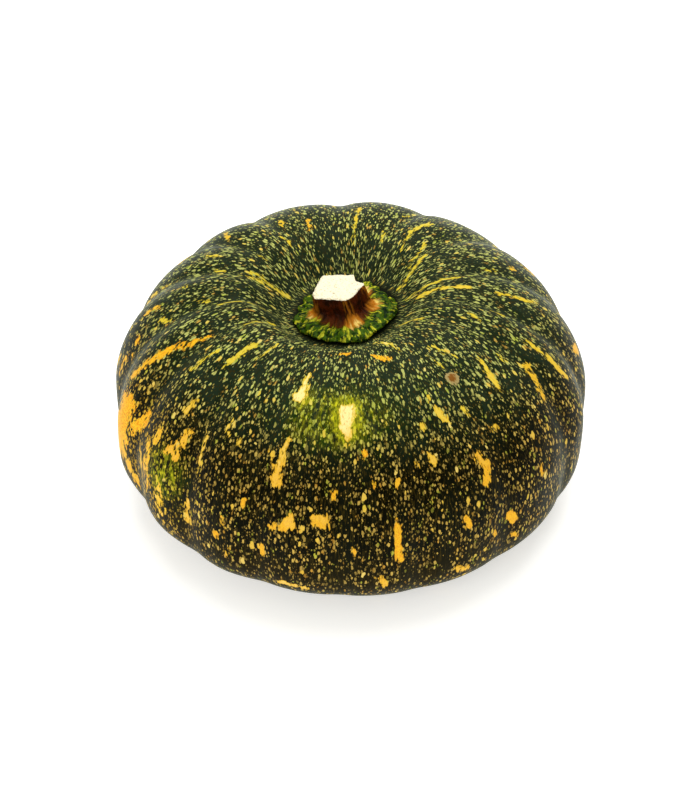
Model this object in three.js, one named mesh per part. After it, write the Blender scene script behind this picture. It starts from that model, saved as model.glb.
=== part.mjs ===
// A squat ribbed pumpkin with its cut stem, standing on its blossom end.
// Millimetres, +Z up. The origin is under the middle of the fruit, on the surface it stands on.
// Azimuths are in degrees, counter-clockwise seen from above, with 0 at the front (-Y) and 90 at +X.
import * as THREE from "three";

// Driving dimensions of the fruit's outline, from the blossom end up to the stem's seat.
const blossomRadius = 5; // corky scar in the middle of the underside
const blossomHeight = 4;
const footInnerRadius = 27; // the flattened ring that the fruit stands on
const footRadius = 38;
const equatorRadius = 104.3;
const equatorHeight = 44.5;
const crestRadius = 48; // ring of the highest points, around the stem's hollow
const crestHeight = 101.5;
const seatRadius = 24.5; // floor of the hollow, which carries the stem
const seatHeight = 87.7;
const bellyPower = 3.7; // superellipse power of the outline below the equator
const shoulderPower = 1.87; // and above it, where it is rounder

// Ribs: a groove at each azimuth, and a rounded lobe from each groove to the next.
const grooveAzimuths = [
  -3, 17, 40, 65, 83, 105, 130, 155, 183, 213, 234, 254, 276, 296, 317, 337,
];
// How far each of those lobes swells beyond the common outline.
const lobeSwells = [
  0.4, 0, 0.5, 0.9, 0.3, 0, 0.2, 0.6, 0, 0.5, 0.4, 1.6, 1.9, 1.7, 1.3, 0.5,
];
const grooveDepth = 1.7;
const lobeRoundness = 0.7; // power of the sine across a lobe: smaller is flatter, with a sharper groove
const segmentsPerLobe = 6;

// The hollow is a little off the fruit's axis, and its floor leans with the stem.
const stemOffset = -2.3; // along X
const seatSlope = 0.12; // rise along X: its -X side is lower

// Driving dimensions of the stem, above its seat.
const stemGap = 0.3;
const stemHeight = 14;
const stemLean = -3.1; // shift of the cut along X
const cutSlope = 0.2; // rise of the cut along X
const stemSegments = 72;
// Corners of the stem's section at the cut: azimuth, then radius.
const cutCorners = [
  [14.6, 9.9],
  [33, 10],
  [91, 11.3],
  [111, 7.9],
  [140, 9.9],
  [215, 13.1],
  [279, 11.8],
  [296, 11.4],
];
// The flared foot is a low collar: height, mean radius, and how much of the cut's section it shows.
const stemRows = [
  [0, 19.6, 0],
  [0.4, 21.2, 0],
  [1.4, 22.3, 0],
  [2.5, 21.7, 0.1],
  [3.2, 19.4, 0.25],
  [3.7, 16.2, 0.55],
  [4.5, 13.7, 0.85],
  [6, 12.3, 1],
  [8.4, 11.5, 1],
  [11, 11, 1],
  [stemHeight, 10.7, 1],
];
const footBlunting = 0.9; // how far the foot bulges at the stem's five blunt ridges
const footRidges = [16, 82, 152, 218, 290];
const footSetback = 3.2; // the foot reaches less far at the back

const radians = THREE.MathUtils.degToRad;
const smooth = THREE.MathUtils.smoothstep;

// Outline of a superellipse quarter, from the equator to a ring at innerRadius that is rise higher.
function quarter(innerRadius, rise, power, steps) {
  const points = [];
  for (let i = 0; i <= steps; i++) {
    const turn = (Math.PI / 2) * (i / steps);
    const out = Math.max(Math.cos(turn), 0) ** (2 / power);
    const up = Math.sin(turn) ** (2 / power);
    const r = innerRadius + (equatorRadius - innerRadius) * out;
    points.push(new THREE.Vector2(r, equatorHeight + rise * up));
  }
  return points;
}

// The hollow's wall, from just inside the crest down to the edge of the seat.
function hollow(steps) {
  const points = [];
  for (let i = steps - 1; i >= 0; i--) {
    const share = i / steps;
    const r = seatRadius + (crestRadius - seatRadius) * share;
    const up = Math.sin((Math.PI / 2) * share);
    points.push(new THREE.Vector2(r, seatHeight + (crestHeight - seatHeight) * up));
  }
  return points;
}

function fruitOutline() {
  const belly = quarter(footRadius, -equatorHeight, bellyPower, 11);
  const shoulder = quarter(crestRadius, crestHeight - equatorHeight, shoulderPower, 11);
  return [
    new THREE.Vector2(0, blossomHeight),
    new THREE.Vector2(blossomRadius, blossomHeight),
    new THREE.Vector2(blossomRadius + 8, blossomHeight * 0.55),
    new THREE.Vector2(footInnerRadius, 0),
    ...belly.reverse(),
    ...shoulder.slice(1),
    ...hollow(6),
    new THREE.Vector2(0, seatHeight),
  ];
}

// How deep the grooves are at a point of the outline, from 0 to 1. The underside has none.
function grooveShare(point) {
  if (point.y > equatorHeight) return smooth(point.x, seatRadius, crestRadius);
  return point.x > footRadius ? smooth(point.y, 0, equatorHeight * 0.7) : 0;
}

// Azimuth of a column of vertices and its share across a lobe. A column lies in every groove.
function placeInLobe(column) {
  const lobe = Math.floor(column / segmentsPerLobe);
  const share = (column % segmentsPerLobe) / segmentsPerLobe;
  const last = lobe === grooveAzimuths.length - 1;
  const start = grooveAzimuths[lobe];
  const end = last ? grooveAzimuths[0] + 360 : grooveAzimuths[lobe + 1];
  return { lobe, share, width: end - start, azimuth: radians(start + (end - start) * share) };
}

// Outward normal of the outline at a row, from its neighbours.
function outlineNormal(outline, row) {
  const before = outline[Math.max(row - 1, 0)];
  const after = outline[Math.min(row + 1, outline.length - 1)];
  return new THREE.Vector2(after.y - before.y, before.x - after.x).normalize();
}

// Makes a lathe of the outline and moves its vertices: place(column, row) gives each its position.
function shapedLathe(outline, columns, place) {
  const geometry = new THREE.LatheGeometry(outline, columns);
  const position = geometry.getAttribute("position");
  for (let column = 0; column <= columns; column++) {
    for (let row = 0; row < outline.length; row++) {
      const moved = place(column % columns, row);
      position.setXYZ(column * outline.length + row, moved.x, moved.y, moved.z);
    }
  }
  geometry.computeVertexNormals();
  return geometry;
}

function fruitGeometry() {
  const outline = fruitOutline();
  const columns = grooveAzimuths.length * segmentsPerLobe;
  const meanWidth = 360 / grooveAzimuths.length;
  return shapedLathe(outline, columns, (column, row) => {
    const point = outline[row];
    const { lobe, share, width, azimuth } = placeInLobe(column);
    const across = Math.sin(Math.PI * share);
    const depth = grooveDepth * Math.sqrt(width / meanWidth);
    const swell = lobeSwells[lobe] * across * across;
    const outward = (swell - depth * (1 - across ** lobeRoundness)) * grooveShare(point);
    const normal = outlineNormal(outline, row);
    const r = point.x + normal.x * outward;
    const x = r * Math.sin(azimuth);
    const inHollow = 1 - smooth(point.x, seatRadius, crestRadius);
    const nearTop = 1 - smooth(point.x, crestRadius, equatorRadius);
    const upper = point.y > equatorHeight ? 1 : 0;
    const slope = upper * seatSlope * inHollow;
    const shift = upper * stemOffset * nearTop;
    const z = point.y + normal.y * outward + slope * x;
    return new THREE.Vector3(x + shift, -r * Math.cos(azimuth), z);
  });
}

// Radius of the stem's section at the cut, along the straight edge between two corners.
function cutRadius(azimuth) {
  const turned = azimuth < cutCorners[0][0] ? azimuth + 360 : azimuth;
  const index = cutCorners.findLastIndex(([corner]) => corner <= turned);
  const last = index === cutCorners.length - 1;
  const [startAzimuth, startRadius] = cutCorners[index];
  const [endAzimuth, endRadius] = last ? cutCorners[0] : cutCorners[index + 1];
  const wide = radians(endAzimuth + (last ? 360 : 0) - startAzimuth);
  const into = radians(turned - startAzimuth);
  const across = startRadius * Math.sin(into) + endRadius * Math.sin(wide - into);
  return (startRadius * endRadius * Math.sin(wide)) / across;
}

// How near an azimuth is to one of the foot's ridges, from 0 to 1.
function ridgeShare(azimuth) {
  const halfTurn = (ridge) => THREE.MathUtils.euclideanModulo(azimuth - ridge + 180, 360) - 180;
  const nearest = Math.min(...footRidges.map((ridge) => Math.abs(halfTurn(ridge))));
  return 1 - smooth(nearest, 0, 34);
}

function stemGeometry() {
  const outline = [new THREE.Vector2(0, 0)];
  for (const [height, radius] of stemRows) outline.push(new THREE.Vector2(radius, height));
  outline.push(new THREE.Vector2(0, stemHeight));
  const cutMean = stemRows[stemRows.length - 1][1];
  return shapedLathe(outline, stemSegments, (column, row) => {
    const azimuth = (360 * column) / stemSegments;
    const point = outline[row];
    const angular = row > 0 && row <= stemRows.length ? stemRows[row - 1][2] : 0;
    const section = point.x * (cutRadius(azimuth) / cutMean);
    const setback = footSetback * Math.max(-Math.cos(radians(azimuth)), 0);
    const bulge = footBlunting * (2 * ridgeShare(azimuth) - 1) - setback;
    const collar = point.x > 0 ? point.x + bulge : 0;
    const r = collar + (section - collar) * angular;
    const x = r * Math.sin(radians(azimuth));
    const rise = point.y / stemHeight;
    const slope = seatSlope + (cutSlope - seatSlope) * rise;
    const y = -r * Math.cos(radians(azimuth));
    return new THREE.Vector3(x + stemLean * rise, y, point.y + slope * x);
  });
}

function piece(name, geometry, color, roughness) {
  const material = new THREE.MeshStandardMaterial({ color, roughness, metalness: 0 });
  const mesh = new THREE.Mesh(geometry, material);
  mesh.name = name;
  return mesh;
}

const fruit = piece("fruit", fruitGeometry(), 0x35452a, 0.5);
const stem = piece("stem", stemGeometry(), 0x8a6a34, 0.8);
stem.position.set(stemOffset, 0, seatHeight + stemGap);

// The lobes leave the plan uneven, so the whole is centred on the middle of the fruit's box.
const pumpkin = new THREE.Group();
pumpkin.add(fruit, stem);
const middle = new THREE.Box3().setFromObject(fruit, true).getCenter(new THREE.Vector3());
pumpkin.position.set(-middle.x, -middle.y, 0);

export default pumpkin;
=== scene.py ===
# A squat ribbed pumpkin: its speckled rind, its cut stem, and a pale studio floor.
# Metres, +Z up. Azimuths are in degrees, 0 at the front (-Y) and 90 at +X.
# A place on the rind is an azimuth and a turn, where 0 is the crest round the stem,
# 90 the equator and 180 the foot.
import bpy
from math import atan2, cos, degrees, exp, hypot, radians, sin
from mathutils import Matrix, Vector, noise
from random import Random


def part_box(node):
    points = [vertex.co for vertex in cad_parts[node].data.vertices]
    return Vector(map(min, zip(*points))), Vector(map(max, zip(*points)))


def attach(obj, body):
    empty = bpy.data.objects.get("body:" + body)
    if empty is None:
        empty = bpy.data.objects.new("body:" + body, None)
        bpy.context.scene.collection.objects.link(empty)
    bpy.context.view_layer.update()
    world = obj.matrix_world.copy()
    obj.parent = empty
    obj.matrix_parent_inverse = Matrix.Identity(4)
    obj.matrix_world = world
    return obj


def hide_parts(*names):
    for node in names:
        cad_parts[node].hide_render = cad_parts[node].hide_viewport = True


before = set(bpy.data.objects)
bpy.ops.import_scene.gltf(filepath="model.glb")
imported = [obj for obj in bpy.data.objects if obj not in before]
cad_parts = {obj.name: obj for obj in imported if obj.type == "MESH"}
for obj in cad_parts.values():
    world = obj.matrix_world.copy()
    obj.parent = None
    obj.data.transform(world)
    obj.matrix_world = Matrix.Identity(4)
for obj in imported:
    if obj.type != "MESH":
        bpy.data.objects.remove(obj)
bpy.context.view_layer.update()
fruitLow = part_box("fruit")[0]
stemLow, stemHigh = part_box("stem")
print("frame loaded")


def deselectAll():
    for thing in bpy.context.selected_objects:
        thing.select_set(False)


def makeActive(thing):
    deselectAll()
    thing.select_set(True)
    bpy.context.view_layer.objects.active = thing


# A copy of a CAD node, merged, with quads in place of its triangles
def copyNode(name, node):
    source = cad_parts[node]
    thing = bpy.data.objects.new(name, source.data.copy())
    bpy.context.scene.collection.objects.link(thing)
    thing.data.materials.clear()
    makeActive(thing)
    bpy.ops.mesh.customdata_custom_splitnormals_clear()
    bpy.ops.object.mode_set(mode="EDIT")
    bpy.ops.mesh.select_all(action="SELECT")
    bpy.ops.mesh.remove_doubles(threshold=0.00001)
    bpy.ops.mesh.tris_convert_to_quads(face_threshold=radians(60), shape_threshold=radians(80))
    bpy.ops.mesh.normals_make_consistent(inside=False)
    bpy.ops.object.mode_set(mode="OBJECT")
    return thing


def subdivide(thing, levels):
    makeActive(thing)
    modifier = thing.modifiers.new("smooth", "SUBSURF")
    modifier.levels = levels
    modifier.render_levels = levels
    bpy.ops.object.modifier_apply(modifier=modifier.name)


def writeAttribute(thing, name, values):
    attribute = thing.data.attributes.new(name, "FLOAT_VECTOR", "POINT")
    flat = [number for value in values for number in value]
    attribute.data.foreach_set("vector", flat)


def smoothStep(low, high, value):
    share = min(max((value - low) / (high - low), 0), 1)
    return share * share * (3 - 2 * share)


def moveVertices(thing, places):
    thing.data.vertices.foreach_set("co", [number for place in places for number in place])
    thing.data.update()
    makeActive(thing)
    bpy.ops.object.shade_smooth()


def azimuthOf(point):
    return degrees(atan2(point.x, -point.y))


def azimuthGap(one, other):
    return (one - other + 180) % 360 - 180


# Node helpers

def newMaterial(name):
    material = bpy.data.materials.new(name)
    material.use_nodes = True
    tree = material.node_tree
    tree.nodes.clear()
    output = tree.nodes.new("ShaderNodeOutputMaterial")
    surface = tree.nodes.new("ShaderNodeBsdfPrincipled")
    tree.links.new(surface.outputs["BSDF"], output.inputs["Surface"])
    return material, tree, surface


def plug(tree, socket, value):
    if isinstance(value, bpy.types.NodeSocket):
        tree.links.new(value, socket)
    else:
        socket.default_value = value


def calculate(tree, operation, first, second, clamp=False):
    node = tree.nodes.new("ShaderNodeMath")
    node.operation = operation
    node.use_clamp = clamp
    plug(tree, node.inputs[0], first)
    plug(tree, node.inputs[1], second)
    return node.outputs[0]


def plus(tree, first, second, clamp=False):
    return calculate(tree, "ADD", first, second, clamp)


def minus(tree, first, second):
    return calculate(tree, "SUBTRACT", first, second)


def times(tree, first, *others):
    for other in others:
        first = calculate(tree, "MULTIPLY", first, other)
    return first


# Bottom up to low, top from high on, and smooth between
def ramp(tree, value, low, high, bottom=0.0, top=1.0):
    node = tree.nodes.new("ShaderNodeMapRange")
    node.interpolation_type = "SMOOTHSTEP"
    plug(tree, node.inputs["Value"], value)
    plug(tree, node.inputs["From Min"], low)
    plug(tree, node.inputs["From Max"], high)
    plug(tree, node.inputs["To Min"], bottom)
    plug(tree, node.inputs["To Max"], top)
    return node.outputs["Result"]


def blendColours(tree, share, first, second):
    node = tree.nodes.new("ShaderNodeMix")
    node.data_type = "RGBA"
    plug(tree, node.inputs["Factor"], share)
    for name, colour in (("A", first), ("B", second)):
        plug(tree, node.inputs[name], (*colour, 1) if isinstance(colour, tuple) else colour)
    return node.outputs["Result"]


def readAttribute(tree, name):
    node = tree.nodes.new("ShaderNodeAttribute")
    node.attribute_name = name
    return node.outputs["Vector"]


def split(tree, vector):
    node = tree.nodes.new("ShaderNodeSeparateXYZ")
    tree.links.new(vector, node.inputs[0])
    return node.outputs[0], node.outputs[1], node.outputs[2]


# Scales a vector so that one unit of the result is one cell of the given size.
# Layers with different shifts don't repeat each other
def cells(tree, vector, size, shift=0.0):
    node = tree.nodes.new("ShaderNodeMapping")
    tree.links.new(vector, node.inputs["Vector"])
    node.inputs["Location"].default_value = (shift, shift * 0.7, shift * 1.3)
    node.inputs["Scale"].default_value = tuple(1 / side for side in size)
    return node.outputs["Vector"]


# Soft noise round 0.5, in clouds of the given size
def cloud(tree, vector, size, detail=2.0, shift=0.0, roughness=0.5):
    node = tree.nodes.new("ShaderNodeTexNoise")
    tree.links.new(cells(tree, vector, size, shift), node.inputs["Vector"])
    node.inputs["Scale"].default_value = 1
    node.inputs["Detail"].default_value = detail
    node.inputs["Roughness"].default_value = roughness
    return node.outputs["Fac"]


def bump(tree, height, distance, strength=1.0, under=None):
    node = tree.nodes.new("ShaderNodeBump")
    node.inputs["Distance"].default_value = distance
    node.inputs["Strength"].default_value = strength
    tree.links.new(height, node.inputs["Height"])
    if under is not None:
        tree.links.new(under, node.inputs["Normal"])
    return node.outputs["Normal"]


# The rind's mesh

rindShape = {
    "levels": 2,
    "ringRadius": 0.050,  # the rind bends round this ring, so turns are even steps along it
    "ringHeight": 0.046,
    "turnLength": 0.053,  # of the rind for each radian of turn
    "lump": 0.0006,
    "lumpSize": 0.028,
    "lumpReach": (0.03, 0.05),  # the lumps fade in between these radii, clear of the stem
    "flatRise": 0.01,  # below this height the rind keeps the frame's flat ring
    "scarAzimuth": 39,
    "scarTurn": 20,
    "scarRadius": 0.0030,
    "scarHeight": 0.0007,
    "blossomRadius": 0.0045,
    "blossomHeight": 0.0012,
    "grooves": [-3, 17, 40, 65, 83, 105, 130, 155, 183, 213, 234, 254, 276, 296, 317, 337],
    "grooveDepth": 0.0004,  # the grooves are this much deeper than the frame's
    "grooveWidth": (0.3, 4.5),  # half widths of the bottom and of the whole groove, in degrees
    "grooveStart": (-15, 35),  # turns between which the grooves fade in
    "grooveEnd": (110, 140),  # and out again
    "poreDepth": 0.00025,
    "speckRise": 0.00012,
}


# The underside inside the foot carries on past 180
def turnOf(point):
    out = hypot(point.x, point.y) - rindShape["ringRadius"]
    turn = degrees(atan2(out, point.z - rindShape["ringHeight"]))
    return turn + 360 if turn < -100 else turn


# Steps across and along the ribs to another place, from a point at this azimuth and turn
# that is reach from the axis
def stepsTo(azimuth, turn, reach, other):
    across = radians(azimuthGap(other[0], azimuth)) * reach
    along = radians(other[1] - turn) * rindShape["turnLength"]
    return across, along


# How near a place is to the bottom of a groove between two ribs, from 0 to 1
def grooveShare(azimuth, turn):
    nearest = min(abs(azimuthGap(azimuth, groove)) for groove in rindShape["grooves"])
    fadeIn = smoothStep(*rindShape["grooveStart"], turn)
    fadeOut = 1 - smoothStep(*rindShape["grooveEnd"], turn)
    return (1 - smoothStep(*rindShape["grooveWidth"], nearest)) * fadeIn * fadeOut


# How far a point of the rind is raised along its normal
def rindLift(place):
    radius = hypot(place.x, place.y)
    azimuth, turn = azimuthOf(place), turnOf(place)
    lumps = smoothStep(*rindShape["lumpReach"], radius) * noise.noise(place / rindShape["lumpSize"])
    lift = lumps * rindShape["lump"] - rindShape["grooveDepth"] * grooveShare(azimuth, turn)
    scar = (rindShape["scarAzimuth"], rindShape["scarTurn"])
    fromScar = hypot(*stepsTo(azimuth, turn, radius, scar)) / rindShape["scarRadius"]
    lift += rindShape["scarHeight"] * (1 - smoothStep(0.6, 1.4, fromScar))
    rise = place.z - fruitLow.z
    if rise < rindShape["flatRise"]:
        fromBlossom = radius / rindShape["blossomRadius"]
        lift *= smoothStep(0, rindShape["flatRise"], rise)
        lift += rindShape["blossomHeight"] * (1 - smoothStep(0.7, 1.3, fromBlossom))
    return lift


def makeRind():
    rind = copyNode("rind", "fruit")
    subdivide(rind, rindShape["levels"])
    moveVertices(rind, [vertex.co + vertex.normal * rindLift(vertex.co) for vertex in rind.data.vertices])
    return rind


rind = makeRind()
print("rind mesh", len(rind.data.vertices), "vertices")


# Streaks and blotches on the rind: the azimuth and turn of one end and of the other,
# the half width at each end in millimetres, then how orange and how pale it is
markings = {
    "shoulder": [
        (-103, 0, -113, -27, 0.7, 1.1, 0, 0.2),
        (-122, -3, -124, -9, 0.8, 0.6, 0, 0),
        (-80, 7, -81, -16, 0.9, 0.6, 0, 0),
        (-62, 1, -66, -17, 0.9, 0.6, 0, 0),
        (-76, 61, -71, 38, 1.2, 1.9, 0.7, 0),
        (-71, 38, -65, 16, 1.9, 0.7, 0.8, 0),
        (-49, 23, -47, 4, 0.8, 1.2, 0, 0.1),
        (-40, 10, -38, -1, 0.7, 0.8, 0, 0.3),
        (-58, 34, -55, 18, 0.6, 0.6, 0, 0),
        (-88, 54, -87, 57, 1.4, 1.0, 1, 0),
        (-86, 62, -85, 64, 1.4, 1.0, 1, 0),
        (-133, 29, -128, 20, 1.5, 0.9, 0.3, 0),
        (-116, 22, -115, 16, 1.2, 0.8, 0, 0),
        (-87, 38, -85, 33, 1.4, 1.2, 0, 0),
        (-87, 17, -85, 12, 0.9, 0.8, 0, 0),
        (-160, 5, -158, -3, 0.8, 0.9, 0.6, 0),
        (-142, -1, -144, -8, 0.8, 0.7, 0.1, 0),
        (-108, -5, -109, -11, 0.7, 0.7, 0, 0),
        (-150, 14, -149, 8, 0.8, 0.7, 0.2, 0),
        (-98, 27, -96, 22, 0.9, 0.8, 0, 0),
        (-107, 12, -106, 7, 0.8, 0.7, 0, 0),
        (176, 15, 177, 0, 1.0, 1.0, 0.1, 0),
        (177, 0, 178, -14, 0.9, 0.5, 0, 0),
        (161, -3, 160, -11, 0.7, 0.6, 0, 0),
        (145, 15, 147, 0, 1.1, 1.1, 0, 0.1),
        (147, 0, 143, -13, 1.1, 0.6, 0, 0),
        (136, -2, 128, -18, 0.6, 0.6, 0, 0),
        (127, -9, 119, -29, 0.8, 0.7, 0, 0),
        (101, -2, 98, -28, 0.9, 0.8, 0, 0.1),
        (92, 2, 90, -22, 1.0, 1.0, 0.1, 0.1),
        (91, 14, 95, 38, 0.9, 1.1, 0.1, 0),
        (72, 1, 70, 10, 0.7, 0.8, 0, 0),
        (55, -27, 60, -15, 0.6, 0.7, 0, 0.2),
        (20, -22, 27, -3, 0.9, 0.7, 0, 0.6),
        (13, -5, 19, -1, 1.3, 1.4, 0.9, 0),
        (-4, -9, -1, -8, 1.2, 1.1, 0.9, 0),
        (42, 0, 46, 12, 0.7, 0.8, 0, 0.2),
        (37, 4, 39, 13, 0.6, 0.7, 0, 0.2),
        (53, 17, 50, 36, 0.9, 1.5, 0.1, 0.1),
        (73, 33, 75, 61, 1.4, 1.3, 0.1, 0),
        (66, 38, 63, 56, 1.4, 1.3, 0.3, 0),
        (112, 30, 111, 35, 1.5, 1.2, 0.4, 0),
        (157, 20, 157, 14, 1.1, 0.8, 0, 0),
        (108, 14, 107, 20, 0.8, 0.8, 0, 0),
        (80, 12, 80, 19, 0.7, 0.8, 0, 0),
        (61, 24, 60, 30, 0.8, 0.9, 0, 0),
    ],
    "flank": [
        (-16.5, 8, -17.5, 20, 0.4, 3.3, 0.1, 0.9),
        (-1.2, 25, -1, 32, 4.0, 3.2, 0, 1),
        (-1, 32, -0.5, 40, 3.2, 0.6, 0.2, 0.7),
        (-49, 43, -50, 49, 1.0, 1.2, 0.2, 0.2),
        (-46, 55, -49, 69, 1.3, 2.5, 0.5, 0.1),
        (-41, 54, -40, 71, 1.0, 0.8, 0.1, 0.4),
        (-35, 41, -35, 47, 1.0, 1.1, 0.1, 0.3),
        (-31, 47, -31, 52, 0.7, 0.8, 0.1, 0.3),
        (-17.5, 41, -18.5, 53, 0.9, 1.5, 0.2, 0.3),
        (-18.5, 54, -19, 60, 1.9, 2.9, 0.4, 0.1),
        (-21.5, 48, -21, 50, 1.3, 0.9, 0.2, 0.3),
        (-14, 77, -14.5, 80, 2.5, 2.6, 0.4, 0.1),
        (-15, 81, -19, 84, 2.2, 0.9, 0.5, 0),
        (-8.5, 75, -6.5, 76, 2.0, 2.5, 0.4, 0.1),
        (-7.5, 77, -5, 81, 2.2, 0.9, 0.5, 0),
        (-33, 96, -33, 100, 1.2, 1.0, 0.7, 0),
        (-43, 91, -43, 104, 1.9, 1.3, 0.3, 0.2),
        (-52, 92, -51, 106, 1.9, 1.2, 0.3, 0.2),
        (-17, 117, -11, 118, 1.0, 1.5, 0.2, 0.3),
        (-30, 104, -30, 107, 1.4, 1.0, 0.3, 0.1),
        (-21, 97, -21, 102, 1.1, 0.8, 0.5, 0),
        (-31, 87, -31, 89, 1.2, 0.9, 0.4, 0.1),
        (27, 25, 28, 33, 0.9, 1.6, 0.1, 0.1),
        (28, 33, 30, 39, 1.6, 0.7, 0.1, 0.1),
        (22, 35, 22, 38, 1.0, 1.0, 0.1, 0.1),
        (33.5, 56, 36, 63, 1.2, 2.1, 0.5, 0.1),
        (36.5, 64, 35, 71, 1.5, 2.2, 0.6, 0),
        (22, 50, 22, 54, 1.4, 1.5, 0.2, 0.1),
        (36, 35, 37, 38, 1.0, 1.0, 0, 0),
        (42, 49, 43, 51, 1.0, 0.9, 0.2, 0),
        (11, 77, 11, 86, 1.2, 1.5, 0.7, 0),
        (11, 86, 11.5, 98, 1.2, 2.0, 0.7, 0),
        (28, 85, 28.5, 89, 1.7, 1.2, 0.6, 0),
        (41, 96, 42.5, 100, 1.6, 2.4, 0.6, 0),
        (43, 109, 44, 112, 1.6, 1.2, 0.6, 0),
        (26, 113, 29, 116, 1.6, 2.1, 0.4, 0.1),
        (6.5, 109, 8, 113, 1.2, 1.9, 0.4, 0.1),
        (52, 80, 52, 84, 1.0, 0.9, 0.8, 0),
        (12, 58, 12, 60, 1.1, 0.9, 0.5, 0),
        (6, 58, 6, 60, 1.0, 0.8, 0.7, 0),
        (4, 44, 4, 49, 0.9, 0.8, 0.9, 0),
        (17, 52, 17, 54, 0.9, 0.9, 0.3, 0),
        (36, 100, 36.5, 104, 0.8, 0.7, 0.6, 0),
        (-26, 74, -26, 78, 0.9, 0.8, 0.6, 0),
        (1, 92, 1, 95, 0.9, 0.8, 0.5, 0),
        (-4, 63, -4, 66, 1.1, 0.9, 0.7, 0),
    ],
    "patch": [
        (-63, 66, -67, 78, 1.8, 3.2, 0.9, 0),
        (-72, 72, -73, 88, 5.5, 7.0, 0.9, 0),
        (-73, 88, -75, 102, 7.0, 4.5, 0.8, 0),
        (-71, 98, -66, 110, 3.0, 2.2, 0.5, 0),
        (-58, 74, -57, 84, 1.2, 1.4, 0.5, 0),
        (-57, 88, -55, 98, 1.6, 1.2, 0.6, 0),
        (-55, 64, -55, 70, 1.0, 1.4, 0.4, 0),
        (-62, 86, -60, 96, 1.4, 1.7, 0.4, 0),
    ],
    "hiddenSeed": 4,
    "hiddenCount": 60,
    "hiddenAzimuths": (85, 275),
    "hiddenTurns": (36, 120),
    "hiddenLengths": [3, 5, 9, 14],  # in degrees of turn
    "hiddenWidths": (0.9, 2.0),  # half widths in millimetres
    "outside": -4.0,  # depths further outside a mark than this aren't told apart
    "turnMargin": 8,  # a mark further off than these, in turn or in metres across, is passed over
    "acrossMargin": 0.03,
}


# The far side has marks of the same kinds at places of their own
def hiddenMarks():
    chance = Random(markings["hiddenSeed"])
    marks = []
    for _ in range(markings["hiddenCount"]):
        azimuth = chance.uniform(*markings["hiddenAzimuths"])
        turn = chance.uniform(*markings["hiddenTurns"])
        length = chance.choice(markings["hiddenLengths"])
        wide = chance.uniform(*markings["hiddenWidths"]) * (1.5 if length == 3 else 1)
        lean = chance.uniform(-2, 2)
        orange = chance.random() * 0.8
        marks.append((azimuth, turn, azimuth + lean, turn + length, wide * 0.7, wide, orange, 0.1))
    return marks


# Signed depth inside the deepest of the marks, in millimetres, with its two colour shares
def deepestMark(azimuth, turn, reach, marks):
    best = (markings["outside"], 0.0, 0.0)
    margin = markings["turnMargin"]
    for startAzimuth, startTurn, endAzimuth, endTurn, startWide, endWide, orange, pale in marks:
        if not min(startTurn, endTurn) - margin < turn < max(startTurn, endTurn) + margin:
            continue
        across, along = stepsTo(azimuth, turn, reach, (startAzimuth, startTurn))
        if abs(across) > markings["acrossMargin"]:
            continue
        farAcross, farAlong = stepsTo(azimuth, turn, reach, (endAzimuth, endTurn))
        spanAcross, spanAlong = farAcross - across, farAlong - along
        share = -(across * spanAcross + along * spanAlong) / (spanAcross ** 2 + spanAlong ** 2)
        share = min(max(share, 0), 1)
        away = hypot(across + spanAcross * share, along + spanAlong * share) * 1000
        depth = startWide + (endWide - startWide) * share - away  # half width there, less away
        if depth > best[0]:
            best = (depth, orange, pale)
    return best


# Regions of the rind where the specks crowd together, in gold and in lime, or fade out, in dark.
# Each spot is its middle's azimuth and turn, then how far it goes across and along, in degrees
speckRegions = {
    "gold": [(-66, 84, 16, 24), (-56, 94, 11, 24), (130, 80, 22, 26)],
    "lime": [(0, 27, 15, 14), (-9, 30, 9, 11), (-50, 82, 6, 14), (215, 60, 16, 22)],
    "dark": [(0, 72, 42, 22), (33, 60, 20, 20), (-28, 64, 20, 16), (180, 78, 40, 22)],
}


def regionShare(azimuth, turn, regions):
    total = 0
    for centreAzimuth, centreTurn, wide, tall in regions:
        across = azimuthGap(azimuth, centreAzimuth) / wide
        total += exp(-(across ** 2 + ((turn - centreTurn) / tall) ** 2))
    return min(total, 1)


# The pattern is rolled out on a barrel, narrower than the rind's widest and wider than its hollow.
# Near the stem its rows lie closer, so that the specks there are drawn out into dashes
pattern = {
    "girth": 0.050,  # the barrel's radius at the axis
    "girthGrowth": 0.5,
    "easeStart": 15,  # the turn where the rows begin to spread out
    "easeLength": 40,
    "nearStem": 0.6,  # spacing of the rows up to there, as a share of the full one
}


def patternPlace(azimuth, turn, reach):
    girth = pattern["girth"] + pattern["girthGrowth"] * reach
    past = turn - pattern["easeStart"]
    share = min(max(past / pattern["easeLength"], 0), 1)
    eased = pattern["easeLength"] * (share ** 3 - share ** 4 / 2) + max(past - pattern["easeLength"], 0)
    rows = pattern["nearStem"] * turn + (1 - pattern["nearStem"]) * eased
    down = radians(rows) * rindShape["turnLength"]
    return girth * sin(radians(azimuth)), -girth * cos(radians(azimuth)), down


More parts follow.
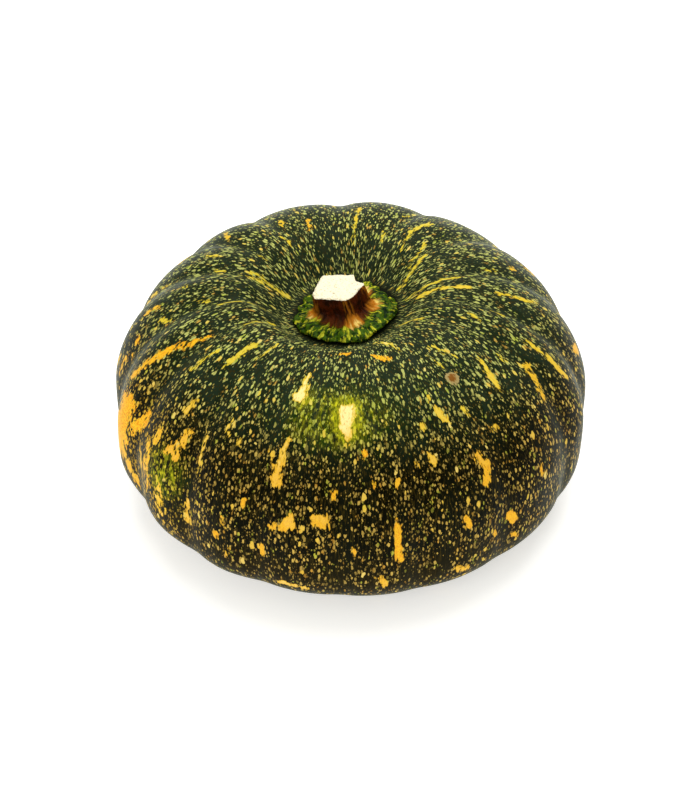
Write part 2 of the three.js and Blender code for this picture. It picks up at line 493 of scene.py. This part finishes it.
def paintRind(rind):
    seen = markings["shoulder"] + markings["flank"] + markings["patch"] + hiddenMarks()
    scar = (rindShape["scarAzimuth"], rindShape["scarTurn"])
    flow, marks, regions, places = [], [], [], []
    for vertex in rind.data.vertices:
        azimuth, turn = azimuthOf(vertex.co), turnOf(vertex.co)
        reach = hypot(vertex.co.x, vertex.co.y)
        flow.append(patternPlace(azimuth, turn, reach))
        marks.append(deepestMark(azimuth, turn, reach, seen))
        gold, lime, dark = [regionShare(azimuth, turn, region) for region in speckRegions.values()]
        # the grooves between the ribs join the dark regions as painted shade
        regions.append((gold, lime, max(dark * 0.65, grooveShare(azimuth, turn))))
        fromScar = hypot(*stepsTo(azimuth, turn, reach, scar)) / rindShape["scarRadius"]
        places.append((radians(turn), reach, min(fromScar, 4)))
    writeAttribute(rind, "rindFlow", flow)
    writeAttribute(rind, "rindMarks", marks)
    writeAttribute(rind, "rindRegions", regions)
    writeAttribute(rind, "rindPlaces", places)


paintRind(rind)
print("rind marks placed")


rindColours = {
    # the shoulder's green is partly the rind's own tone and partly painted reflection of the light from
    # above, beside the much darker flank
    "shoulder": (0.008, 0.017, 0.007),
    "flank": (0.0020, 0.0015, 0.0002),
    "foot": (0.011, 0.007, 0.0005),
    # painted reflection of the sky: a lighter bluish green for the bare bands, mostly on the shoulders
    "skyReflectionPaint": (0.012, 0.022, 0.011),
    "fibre": (0.030, 0.020, 0.002),
    "limeGround": (0.012, 0.034, 0.001),
    "halo": (0.56, 0.54, 0.012),
    "specksHigh": (0.48, 0.50, 0.135),
    "specksLow": (0.62, 0.41, 0.080),
    "specksFoot": (0.46, 0.31, 0.07),
    "specksTan": (0.52, 0.25, 0.025),
    "specksGold": (0.72, 0.42, 0.02),
    "specksLime": (0.36, 0.42, 0.03),
    "specksPale": (0.80, 0.68, 0.26),
    "markHigh": (0.66, 0.52, 0.035),
    "markYellow": (0.76, 0.50, 0.050),
    "markOrange": (0.80, 0.28, 0.005),
    "markPale": (0.98, 0.78, 0.32),
    "markGold": (0.90, 0.56, 0.025),
    "scarRim": (0.36, 0.27, 0.10),
    "scarMiddle": (0.20, 0.075, 0.010),
    "blossom": (0.22, 0.13, 0.05),
    # painted shade: near black for the crevice round the stem's foot, where the foot shades the rind
    "creviceShade": (0.003, 0.004, 0.001),
}

# Each layer of specks: its cell's size, the share of cells with a speck, the smallest and the largest speck
# in cells, its shift, and how soft its edge is
speckLayers = {
    "fine": ((0.0015, 0.0015, 0.0031), 1.0, 0.27, 0.48, 1, 0.08),
    "tiny": ((0.0010, 0.0010, 0.0019), 0.95, 0.28, 0.47, 2, 0.16),
    "large": ((0.0036, 0.0036, 0.0066), 0.42, 0.19, 0.35, 4, 0.05),
    "lines": ((0.0026, 0.0026, 0.0100), 0.90, 0.18, 0.36, 6, 0.05),
}

# Sizes of the clouds in the rind, the last along the ribs
rindClouds = {
    "bands": (0.0060, 0.0060, 0.080),
    "patches": (0.012, 0.012, 0.024),
    "mottle": (0.0030, 0.0030, 0.0060),
    "fibres": (0.0006, 0.0006, 0.0070),
    "torn": (0.0026, 0.0026, 0.0050),
    "frayed": (0.0009, 0.0009, 0.0028),
    "grain": (0.0008, 0.0008, 0.0030),
    "grit": (0.0007, 0.0007, 0.0009),
    "gloss": (0.004, 0.004, 0.009),
    "pores": (0.0011, 0.0011, 0.0016),
}

rindFinish = {
    "Specular IOR Level": 0.03,
    "Specular Tint": (0.9, 1.0, 0.6, 1),
    "Sheen Weight": 0.10,
    "Sheen Roughness": 0.30,
    "Sheen Tint": (0.75, 1.0, 0.65, 1),
}


# One speck to a cell at most, with a ragged outline, and its brightness
def specks(tree, field, layer):
    size, share, smallest, largest, shift, edge = speckLayers[layer]
    wobble = tree.nodes.new("ShaderNodeTexNoise")
    wobble.inputs["Scale"].default_value = 1
    wobble.inputs["Detail"].default_value = 1
    smaller = [side * 0.5 for side in size]
    tree.links.new(cells(tree, field["flow"], smaller, shift + 3), wobble.inputs["Vector"])
    pushed = tree.nodes.new("ShaderNodeVectorMath")
    pushed.operation = "MULTIPLY_ADD"
    pushed.inputs[1].default_value = (0.5, 0.5, 0.5)
    tree.links.new(wobble.outputs["Color"], pushed.inputs[0])
    tree.links.new(cells(tree, field["flow"], size, shift), pushed.inputs[2])
    grains = tree.nodes.new("ShaderNodeTexVoronoi")
    grains.inputs["Scale"].default_value = 1
    grains.inputs["Randomness"].default_value = 0.9
    tree.links.new(pushed.outputs[0], grains.inputs["Vector"])
    chance, brightness = split(tree, grains.outputs["Color"])[:2]
    missing = minus(tree, 1.0, times(tree, field["density"], share))
    reach = ramp(tree, chance, missing, 1.25, smallest, largest)
    reach = times(tree, reach, calculate(tree, "GREATER_THAN", chance, missing))
    inside = minus(tree, reach, grains.outputs["Distance"])
    return calculate(tree, "DIVIDE", inside, edge, clamp=True), brightness


# What the rind's colours follow. High is 1 on the shoulder, low is 1 at the foot,
# and density is near 1 where the specks crowd together
def rindFields(tree):
    flow = readAttribute(tree, "rindFlow")
    field = {"flow": flow}
    for name, parts in (
        ("rindMarks", ("depth", "orange", "pale")),
        ("rindRegions", ("gold", "lime", "dark")),
        ("rindPlaces", ("turn", "reach", "fromScar")),
    ):
        field.update(zip(parts, split(tree, readAttribute(tree, name))))
    # the ground is greener and lighter further down at the sides and the back than at the front, partly the
    # rind's own tone and partly painted reflection of the light from above and behind
    behind = times(tree, plus(tree, split(tree, flow)[1], 0.1), 3.0)
    field["high"] = ramp(tree, minus(tree, field["turn"], behind), radians(62), radians(12))
    field["low"] = ramp(tree, field["turn"], radians(90), radians(118))
    # long bands down the ribs, some crowded with specks and some nearly bare
    field["bands"] = cloud(tree, flow, rindClouds["bands"], detail=3, shift=5)
    patches = cloud(tree, flow, rindClouds["patches"], detail=3, shift=9)
    density = ramp(tree, field["bands"], 0.34, 0.54, 0.40, 0.80)
    density = plus(tree, density, ramp(tree, patches, 0.34, 0.62, 0.0, 0.30))
    crowd = times(tree, plus(tree, field["gold"], field["lime"]), 0.35)
    field["density"] = plus(tree, density, crowd, clamp=True)
    return field


def groundColour(tree, field):
    flow, high = field["flow"], field["high"]
    # partly painted light: the ground is lighter and greener where high, on the upward and backward faces
    ground = blendColours(tree, high, rindColours["flank"], rindColours["shoulder"])
    ground = blendColours(tree, field["low"], ground, rindColours["foot"])
    # painted reflection: the bare bands take the lighter sky colour, strongest on the upward-facing
    # shoulders
    bare = times(tree, ramp(tree, field["bands"], 0.52, 0.38), ramp(tree, high, 0, 1, 0.10, 1.0))
    ground = blendColours(tree, bare, ground, rindColours["skyReflectionPaint"])
    mottle = ramp(tree, cloud(tree, flow, rindClouds["mottle"], shift=8), 0.42, 0.62)
    ground = blendColours(tree, times(tree, field["lime"], mottle), ground, rindColours["limeGround"])
    fibres = cloud(tree, flow, rindClouds["fibres"], shift=19)
    return blendColours(tree, ramp(tree, fibres, 0.50, 0.66, 0.0, 0.8), ground, rindColours["fibre"])


def speckColour(tree, field):
    tint = blendColours(tree, field["high"], rindColours["specksLow"], rindColours["specksHigh"])
    tint = blendColours(tree, field["low"], tint, rindColours["specksFoot"])
    mixed = cloud(tree, field["flow"], rindClouds["mottle"], shift=7)
    tint = blendColours(tree, ramp(tree, mixed, 0.58, 0.66, 0.0, 0.8), tint, rindColours["specksTan"])
    tint = blendColours(tree, ramp(tree, mixed, 0.42, 0.34, 0.0, 0.7), tint, rindColours["specksLime"])
    tint = blendColours(tree, field["gold"], tint, rindColours["specksGold"])
    return blendColours(tree, times(tree, field["lime"], 0.6), tint, rindColours["specksLime"])


def addSpecks(tree, field, colour):
    field["fine"], fineLight = specks(tree, field, "fine")
    field["tiny"], tinyLight = specks(tree, field, "tiny")
    field["large"], largeLight = specks(tree, field, "large")
    lines = specks(tree, field, "lines")[0]
    tint = speckColour(tree, field)
    strong = blendColours(tree, 0.6, tint, rindColours["markYellow"])
    paler = ramp(tree, largeLight, 0.7, 1.0, 0.0, 0.4)
    strong = blendColours(tree, paler, strong, rindColours["specksPale"])

    tinyShare = times(tree, field["tiny"], ramp(tree, tinyLight, 0, 1, 0.06, 0.60))
    colour = blendColours(tree, tinyShare, colour, tint)
    fineShare = times(tree, field["fine"], ramp(tree, fineLight, 0, 0.8, 0.35, 1.0))
    # fewer fine specks in the dark regions, and along the grooves between the ribs as painted shade
    fineShare = times(tree, fineShare, ramp(tree, field["dark"], 0, 1, 1.0, 0.60))
    colour = blendColours(tree, fineShare, colour, tint)
    colour = blendColours(tree, times(tree, lines, field["high"], 0.85), colour, tint)
    return blendColours(tree, field["large"], colour, strong)


# The streaks and blotches: torn edges drawn out along the ribs, and a halo where the rind is lime
def addMarks(tree, field, colour):
    flow, gold, high = field["flow"], field["gold"], field["high"]
    torn = minus(tree, cloud(tree, flow, rindClouds["torn"], shift=11), 0.5)
    frayed = minus(tree, cloud(tree, flow, rindClouds["frayed"], shift=12), 0.5)
    torn = plus(tree, times(tree, torn, 5.0), times(tree, frayed, 3.6))
    torn = times(tree, torn, plus(tree, times(tree, gold, 1.8), 1.0))
    ragged = minus(tree, plus(tree, field["depth"], torn), times(tree, high, 0.25))

    halo = times(tree, ramp(tree, ragged, -5.2, -0.8), ramp(tree, field["lime"], 0.25, 0.9))
    halo = times(tree, halo, ramp(tree, frayed, -0.10, 0.08, 0.35, 1.0))
    flecks = calculate(tree, "MAXIMUM", field["fine"], field["tiny"])
    halo = times(tree, halo, ramp(tree, flecks, 0, 1, 0.55, 1.0))
    colour = blendColours(tree, halo, colour, rindColours["halo"])

    paint = blendColours(tree, high, rindColours["markYellow"], rindColours["markHigh"])
    paint = blendColours(tree, field["orange"], paint, rindColours["markOrange"])
    heart = times(tree, field["pale"], ramp(tree, ragged, 0.2, 1.6))
    paint = blendColours(tree, heart, paint, rindColours["markPale"])
    grain = cloud(tree, flow, rindClouds["grain"], shift=13)
    paint = blendColours(tree, ramp(tree, grain, 0.45, 0.30, 0.0, 0.6), paint, rindColours["specksTan"])
    grit = cloud(tree, flow, rindClouds["grit"], shift=14)
    flecked = calculate(tree, "MAXIMUM", gold, field["orange"])
    flecked = times(tree, flecked, ramp(tree, grit, 0.40, 0.58, 0.0, 0.9))
    paint = blendColours(tree, flecked, paint, rindColours["markGold"])
    field["frayed"] = frayed
    field["mark"] = ramp(tree, ragged, -0.35, 0.45)
    return blendColours(tree, field["mark"], colour, paint)


# The healed scar, the corky blossom end, and painted shade in the crevice round the stem's foot
def addSpots(tree, field, colour):
    fromScar = plus(tree, field["fromScar"], field["frayed"])
    colour = blendColours(tree, ramp(tree, fromScar, 1.15, 0.95), colour, rindColours["scarRim"])
    colour = blendColours(tree, ramp(tree, fromScar, 0.80, 0.50), colour, rindColours["scarMiddle"])
    below = ramp(tree, field["turn"], radians(180), radians(200))
    blossom = times(tree, below, ramp(tree, field["reach"], 0.007, 0.0045))
    colour = blendColours(tree, blossom, colour, rindColours["blossom"])
    # painted shade: the rind turns near black in the crevice round the stem's foot
    creviceShade = ramp(tree, field["turn"], radians(-29), radians(-34))
    return blendColours(tree, creviceShade, colour, rindColours["creviceShade"])


def rindMaterial():
    material, tree, surface = newMaterial("rind")
    field = rindFields(tree)
    colour = groundColour(tree, field)
    colour = addSpecks(tree, field, colour)
    colour = addMarks(tree, field, colour)
    colour = addSpots(tree, field, colour)
    tree.links.new(colour, surface.inputs["Base Color"])
    gloss = cloud(tree, field["flow"], rindClouds["gloss"], detail=3, shift=15)
    tree.links.new(ramp(tree, gloss, 0.3, 0.7, 0.36, 0.50), surface.inputs["Roughness"])
    for name, value in rindFinish.items():
        surface.inputs[name].default_value = value
    raised = calculate(tree, "MAXIMUM", field["large"], field["mark"])
    raised = plus(tree, times(tree, field["fine"], 0.4), raised)
    pores = cloud(tree, field["flow"], rindClouds["pores"], detail=3, shift=17)
    skin = bump(tree, pores, rindShape["poreDepth"], 0.5)
    tree.links.new(bump(tree, raised, rindShape["speckRise"], 0.6, skin), surface.inputs["Normal"])
    return material


rind.data.materials.append(rindMaterial())
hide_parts("fruit")
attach(rind, "root")
print("rind finished")


# The stalk

stalkShape = {
    "levels": 2,
    "seat": 0.0880,  # height of the foot's underside at its middle
    "tall": 0.0140,
    "footSlope": 0.12,  # rise along X
    "cutSlope": 0.20,
    "lean": -0.0031,  # shift of the cut along X
    "column": 0.0125,  # radius where the column meets the foot
    "rim": 0.0222,
    "columnEnd": (0.0135, 0.016),  # the sides' relief gives way to the foot's between these radii
    "seatFade": (0.0003, 0.0015),  # and all of it fades in between these heights above the seat
    "cutFade": (0.0001, 0.0006),  # depths below the cut where its own relief fades out
    "creaseDepth": 0.0002,  # edges nearer the cut than this, and outside this radius, are creased
    "creaseRadius": 0.005,
    "crease": 0.9,
    "cutRoughness": 0.00022,
    "fibre": 0.00035,
    "strands": (6, 110),  # fibres round the stalk and along it
    "fineStrands": (15, 240),
    "knob": 0.0011,
    "knobSize": 0.0026,
    "ruffles": 17,
    "ruffleStart": (0.016, 0.020),  # radii
    "tuck": 0.0014,  # how far the column's faces draw in between its ridges
    "tuckStart": (0.0022, 0.0042),  # heights
    "tuckEnd": (0.0055, 0.0105),
    "ridges": [20, 88, 140, 215, 286],  # azimuths
    "ridgeWidth": (4, 26),  # half widths of the crest and of the whole ridge, in degrees
    "girth": 0.012,  # radius that the pattern is rolled out on
    "strandDepth": 0.0006,
    "gritDepth": 0.0006,
}
stalkMiddle = (stemLow.x + stemHigh.x) / 2


# How far a point is below the plane of the cut
def belowCut(point):
    top = fruitLow.z + stalkShape["seat"] + stalkShape["tall"]
    return top + stalkShape["cutSlope"] * (point.x - stalkMiddle - stalkShape["lean"]) - point.z


# Azimuth round the leaning stalk, radius, and height above the tilted seat
def stalkPlace(point):
    height = point.z - fruitLow.z - stalkShape["seat"]
    share = min(max(height / stalkShape["tall"], 0), 1)
    slope = stalkShape["footSlope"] + (stalkShape["cutSlope"] - stalkShape["footSlope"]) * share
    out = point.x - stalkMiddle - stalkShape["lean"] * share
    return degrees(atan2(out, -point.y)), hypot(out, point.y), height - slope * out


def ridgeShare(azimuth):
    nearest = min(abs(azimuthGap(azimuth, ridge)) for ridge in stalkShape["ridges"])
    return 1 - smoothStep(*stalkShape["ridgeWidth"], nearest)


# Selects and creases the edge of the cut, so that it stays sharp
def creaseCut(stalk):
    makeActive(stalk)
    bpy.ops.object.mode_set(mode="EDIT")
    bpy.ops.mesh.select_all(action="DESELECT")
    bpy.ops.object.mode_set(mode="OBJECT")
    for edge in stalk.data.edges:
        ends = [stalk.data.vertices[index].co for index in edge.vertices]
        onCut = all(belowCut(end) < stalkShape["creaseDepth"] for end in ends)
        edge.select = onCut and all(stalkPlace(end)[1] > stalkShape["creaseRadius"] for end in ends)
    bpy.ops.object.mode_set(mode="EDIT")
    bpy.ops.transform.edge_crease(value=stalkShape["crease"])
    bpy.ops.object.mode_set(mode="OBJECT")


# How far a point of the stalk is raised along its normal: fibres and faces on its sides,
# knobs and ruffles on its foot, and the rough cut
def stalkLift(place):
    azimuth, radius, height = stalkPlace(place)
    turned = radians(azimuth)
    aboveSeat = smoothStep(*stalkShape["seatFade"], height)
    pastColumn = smoothStep(*stalkShape["columnEnd"], radius)
    onCut = 1 - smoothStep(*stalkShape["cutFade"], belowCut(place))
    onSide = (1 - pastColumn) * (1 - onCut) * aboveSeat
    strand, fine = [
        Vector((sin(turned) * across, cos(turned) * across, height * along))
        for across, along in (stalkShape["strands"], stalkShape["fineStrands"])
    ]
    lift = onSide * stalkShape["fibre"] * (noise.noise(strand) * 1.6 + noise.noise(fine))
    waist = smoothStep(*stalkShape["tuckStart"], height) * (1 - smoothStep(*stalkShape["tuckEnd"], height))
    lift -= onSide * waist * stalkShape["tuck"] * (1 - 0.8 * ridgeShare(azimuth))
    grown = place / stalkShape["knobSize"]
    knobs = noise.noise(grown) + 0.5 * noise.noise(grown * 2.3)
    ruffle = sin(turned * stalkShape["ruffles"] + 4 * noise.noise(strand * 0.25))
    ruffle *= 0.55 * smoothStep(*stalkShape["ruffleStart"], radius)
    lift += pastColumn * aboveSeat * stalkShape["knob"] * (knobs + ruffle)
    lift += onCut * stalkShape["cutRoughness"] * (noise.noise(place * 700) + noise.noise(place * 260))
    return lift


def makeStalk():
    stalk = copyNode("stalk", "stem")
    creaseCut(stalk)
    subdivide(stalk, stalkShape["levels"])
    moveVertices(stalk, [vertex.co + vertex.normal * stalkLift(vertex.co) for vertex in stalk.data.vertices])
    return stalk


def paintStalk(stalk):
    column, girth = stalkShape["column"], stalkShape["girth"]
    flow, zones, ridges = [], [], []
    for vertex in stalk.data.vertices:
        azimuth, radius, height = stalkPlace(vertex.co)
        turned = radians(azimuth)
        flow.append((girth * sin(turned), girth * cos(turned), height - max(radius - column, 0)))
        outward = (radius - column) / (stalkShape["rim"] - column)
        zones.append((height / stalkShape["tall"], outward, min(belowCut(vertex.co) * 1000, 5)))
        ridges.append((ridgeShare(azimuth), 0, 0))
    writeAttribute(stalk, "stalkFlow", flow)
    writeAttribute(stalk, "stalkZones", zones)
    writeAttribute(stalk, "stalkRidges", ridges)


stalk = makeStalk()
paintStalk(stalk)
print("stalk mesh", len(stalk.data.vertices), "vertices")


stalkColours = {
    "side": (0.080, 0.012, 0.001),
    "sideDark": (0.018, 0.004, 0.001),
    "amber": (0.50, 0.17, 0.008),
    "flare": (0.80, 0.58, 0.14),
    "footGreen": (0.045, 0.095, 0.0006),
    "footDark": (0.003, 0.016, 0.001),
    "footYellow": (0.50, 0.50, 0.02),
    "cut": (0.92, 0.84, 0.62),
    "cutSpeck": (0.60, 0.40, 0.10),
}

# Sizes of the clouds in the stalk, the last along its fibres
stalkClouds = {
    "strands": (0.0010, 0.0010, 0.0065),
    "blotch": (0.0028, 0.0028, 0.0050),
    "grit": (0.0007, 0.0007, 0.0007),
    "knobs": (0.0020, 0.0020, 0.0020),
    "fleck": (0.0010, 0.0010, 0.0050),
}


# Dark red sides, amber corners, and pale flares where the ridges run out into the foot
def sideColour(tree, flow, grit, strands, rise, ridge):
    blotch = cloud(tree, flow, stalkClouds["blotch"], detail=3, shift=2)
    side = blendColours(tree, ramp(tree, blotch, 0.36, 0.60), stalkColours["sideDark"], stalkColours["side"])
    side = blendColours(tree, ramp(tree, grit, 0.50, 0.34, 0.0, 0.7), side, stalkColours["sideDark"])
    corner = times(tree, ramp(tree, ridge, 0.55, 1.0, 0.0, 0.6), ramp(tree, strands, 0.42, 0.58))
    side = blendColours(tree, corner, side, stalkColours["amber"])
    lowness = plus(tree, rise, times(tree, minus(tree, strands, 0.5), 0.45))
    lowness = minus(tree, lowness, times(tree, ridge, 0.14))
    amberLow = times(tree, ramp(tree, lowness, 0.34, 0.20), ramp(tree, ridge, 0.0, 0.6, 0.06, 1.0))
    side = blendColours(tree, amberLow, side, stalkColours["amber"])
    flareLow = times(tree, ramp(tree, lowness, 0.20, 0.08), ramp(tree, ridge, 0.2, 0.9))
    return blendColours(tree, flareLow, side, stalkColours["flare"])


# Knobbly green, painted darker in the pits of the knobs as shade, with yellow flecks that run outward, over
# the side's colour
def footColour(tree, knobs, fleck, outward, ridge, side):
    # painted shade: darker green where the knobs' bump is low, in the pits
    pitShade = ramp(tree, knobs, 0.38, 0.58)
    foot = blendColours(tree, pitShade, stalkColours["footDark"], stalkColours["footGreen"])
    foot = blendColours(tree, ramp(tree, fleck, 0.52, 0.66), foot, stalkColours["footYellow"])
    edge = plus(tree, outward, times(tree, minus(tree, fleck, 0.5), 0.9))
    edge = minus(tree, edge, times(tree, ridge, 0.28))
    return blendColours(tree, ramp(tree, edge, -0.05, 0.22), side, foot)


def stalkMaterial():
    material, tree, surface = newMaterial("stalk")
    flow = readAttribute(tree, "stalkFlow")
    rise, outward, under = split(tree, readAttribute(tree, "stalkZones"))
    ridge = split(tree, readAttribute(tree, "stalkRidges"))[0]
    place = tree.nodes.new("ShaderNodeTexCoord").outputs["Object"]
    strands = cloud(tree, flow, stalkClouds["strands"], detail=3, shift=1)
    knobs = cloud(tree, place, stalkClouds["knobs"], detail=3, shift=3)
    fleck = cloud(tree, flow, stalkClouds["fleck"], detail=3, shift=4, roughness=0.6)
    grit = cloud(tree, place, stalkClouds["grit"], shift=6)
    colour = sideColour(tree, flow, grit, strands, rise, ridge)
    colour = footColour(tree, knobs, fleck, outward, ridge, colour)

    flecked = ramp(tree, grit, 0.58, 0.70, 0.0, 0.8)
    cut = blendColours(tree, flecked, stalkColours["cut"], stalkColours["cutSpeck"])
    onCut = ramp(tree, plus(tree, under, times(tree, minus(tree, grit, 0.5), 0.6)), 0.45, 0.15)
    colour = blendColours(tree, onCut, colour, cut)
    tree.links.new(colour, surface.inputs["Base Color"])
    tree.links.new(ramp(tree, strands, 0.3, 0.7, 0.35, 0.6), surface.inputs["Roughness"])
    surface.inputs["Specular IOR Level"].default_value = 0.07

    fibres = times(tree, strands, minus(tree, 1.0, onCut))
    grown = bump(tree, fibres, stalkShape["strandDepth"], 0.6)
    lumps = plus(tree, times(tree, knobs, 3.0), grit)
    tree.links.new(bump(tree, lumps, stalkShape["gritDepth"], 0.6, grown), surface.inputs["Normal"])
    return material


stalk.data.materials.append(stalkMaterial())
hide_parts("stem")
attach(stalk, "root")
print("stalk finished")


# Floor, light and camera

studio = {
    "floorSize": 12.0,
    "floorColour": (0.86, 0.86, 0.85),
    "worldColour": (1.0, 0.99, 0.93),
    "worldStrength": 0.60,
    "floorGlow": 0.60,
    "lights": {  # place, size and power
        "overhead": ((0.1, 0.7, 1.6), 1.8, 28),
        "front": ((-0.7, -1.5, 1.0), 1.2, 8),
    },
    "lightAim": (0, 0, 0.05),
    "viewHeight": 40,  # of the camera above the horizon, in degrees
    "viewDistance": 1.2,
    "aimHeight": 0.0445,  # the fruit's widest level
    "aimDrop": 0.00445,
    "lens": 121.3,
}


def makeFloor():
    bpy.ops.mesh.primitive_plane_add(size=studio["floorSize"])
    floor = bpy.context.object
    floor.name = "floor"
    material, tree, surface = newMaterial("floor")
    place = tree.nodes.new("ShaderNodeTexCoord").outputs["Object"]
    tone = cloud(tree, place, (0.5, 0.5, 0.5), detail=2)
    pale = studio["floorColour"]
    warm = tuple(level * 0.97 for level in pale)
    tree.links.new(blendColours(tree, tone, warm, pale), surface.inputs["Base Color"])
    surface.inputs["Roughness"].default_value = 0.7
    surface.inputs["Emission Color"].default_value = (*pale, 1)
    surface.inputs["Emission Strength"].default_value = studio["floorGlow"]
    floor.data.materials.append(material)


def softLight(name, place, size, power):
    bpy.ops.object.light_add(type="AREA", location=place)
    light = bpy.context.object
    light.name = name
    light.data.shape = "DISK"
    light.data.size = size
    light.data.energy = power
    light.rotation_mode = "QUATERNION"
    towards = Vector(studio["lightAim"]) - Vector(place)
    light.rotation_quaternion = towards.to_track_quat("-Z", "Y")


def makeCamera():
    height = radians(studio["viewHeight"])
    ahead = Vector((0, cos(height), -sin(height)))
    upward = Vector((0, sin(height), cos(height)))
    centre = Vector((0, 0, studio["aimHeight"]))
    place = centre - ahead * studio["viewDistance"]
    aim = centre - upward * studio["aimDrop"]
    bpy.ops.object.camera_add(location=place)
    camera = bpy.context.object
    camera.rotation_mode = "QUATERNION"
    camera.rotation_quaternion = (aim - place).to_track_quat("-Z", "Y")
    camera.data.sensor_width = 36
    camera.data.lens = studio["lens"]
    camera.data.clip_end = 50
    bpy.context.scene.camera = camera


def makeStudio():
    makeFloor()
    for name, (place, size, power) in studio["lights"].items():
        softLight(name, place, size, power)
    world = bpy.data.worlds.new("studio")
    bpy.context.scene.world = world
    world.use_nodes = True
    background = world.node_tree.nodes["Background"]
    background.inputs["Color"].default_value = (*studio["worldColour"], 1)
    background.inputs["Strength"].default_value = studio["worldStrength"]
    makeCamera()
    bpy.context.scene.view_settings.view_transform = "Standard"


makeStudio()
print("studio finished")
